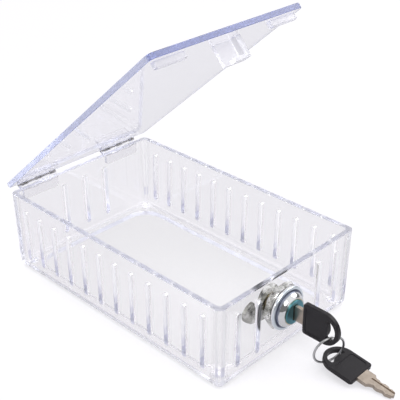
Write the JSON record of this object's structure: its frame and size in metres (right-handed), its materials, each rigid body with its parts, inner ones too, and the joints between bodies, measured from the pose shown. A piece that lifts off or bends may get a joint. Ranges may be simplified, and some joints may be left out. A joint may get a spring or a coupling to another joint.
{
  "type": "thermostat lock box",
  "caption": "Clear vented wall cover for a thermostat, with a hinged lid held by a cam lock with a keyed plug, shown open with its keys on a ring.",
  "frame": {"origin": "centre of the tray's flat back face, the face that is screwed to the wall", "axes": "+X across the tray to the right as seen from the lock, +Y along the tray from the lock to the hinges, +Z out of the wall, towards the lid"},
  "size_m": [0.1014, 0.2279, 0.157],
  "materials": {
    "clear_plastic": "polished clear acrylic with a cool grey tint",
    "pin_steel": "dark drawn steel",
    "lock_chrome": "bright chrome plating",
    "zinc_steel": "zinc plated stamping",
    "plug_brass": "machined",
    "cap_steel": "polished stainless cap with a blue green reflection",
    "key_plastic": "black moulded plastic, satin",
    "key_nickel": "nickel plated brass",
    "ring_steel": "drawn wire"
  },
  "bodies": {
    "base": {"base_tray": "clear_plastic", "hinge_left_base_leaf": "clear_plastic", "hinge_left_pin": "pin_steel", "hinge_right_base_leaf": "clear_plastic", "hinge_right_pin": "pin_steel", "lock_housing": "lock_chrome", "lock_washer": "zinc_steel", "lock_nut": "zinc_steel"},
    "lid": {"lid_panel": "clear_plastic", "lid_rib_left": "clear_plastic", "lid_rib_right": "clear_plastic", "lid_catch": "clear_plastic", "hinge_left_lid_leaf": "clear_plastic", "hinge_right_lid_leaf": "clear_plastic"},
    "plug": {"lock_plug": "plug_brass", "plug_cap": "cap_steel", "lock_wafers": "plug_brass", "lock_cam": "zinc_steel", "cam_washer": "zinc_steel", "cam_nut": "zinc_steel"},
    "key": {"key_bow": "key_plastic", "key_blade": "key_nickel"},
    "ring": {"key_ring": "ring_steel"},
    "spare_key": {"spare_key_bow": "key_plastic", "spare_key_blade": "key_nickel"}
  },
  "joints": [
    {"name": "lid_hinge", "type": "hinge", "parent": "base", "child": "lid", "pos_m": [0, 0.0829, 0.0471], "axis": [-1, 0, 0], "range_deg": [-41.6, 63.4]},
    {"name": "lock_turn", "type": "hinge", "parent": "base", "child": "plug", "pos_m": [-0.002, 0, 0.0236], "axis": [0, 1, 0], "range_deg": [0, 90]},
    {"name": "key_withdraw", "type": "slide", "parent": "plug", "child": "key", "axis": [0, -1, 0], "range_m": [0, 0.022]},
    {"name": "ring_swing", "type": "hinge", "parent": "key", "child": "ring", "pos_m": [-0.002, -0.10623, 0.01937], "axis": [0.9138, -0.3969, 0.086], "range_deg": [-20, 20]},
    {"name": "spare_key_swing", "type": "hinge", "parent": "ring", "child": "spare_key", "pos_m": [0.00473, -0.10699, 0.00559], "axis": [0.6142, -0.3641, 0.7002], "range_deg": [-20, 20]}
  ]
}
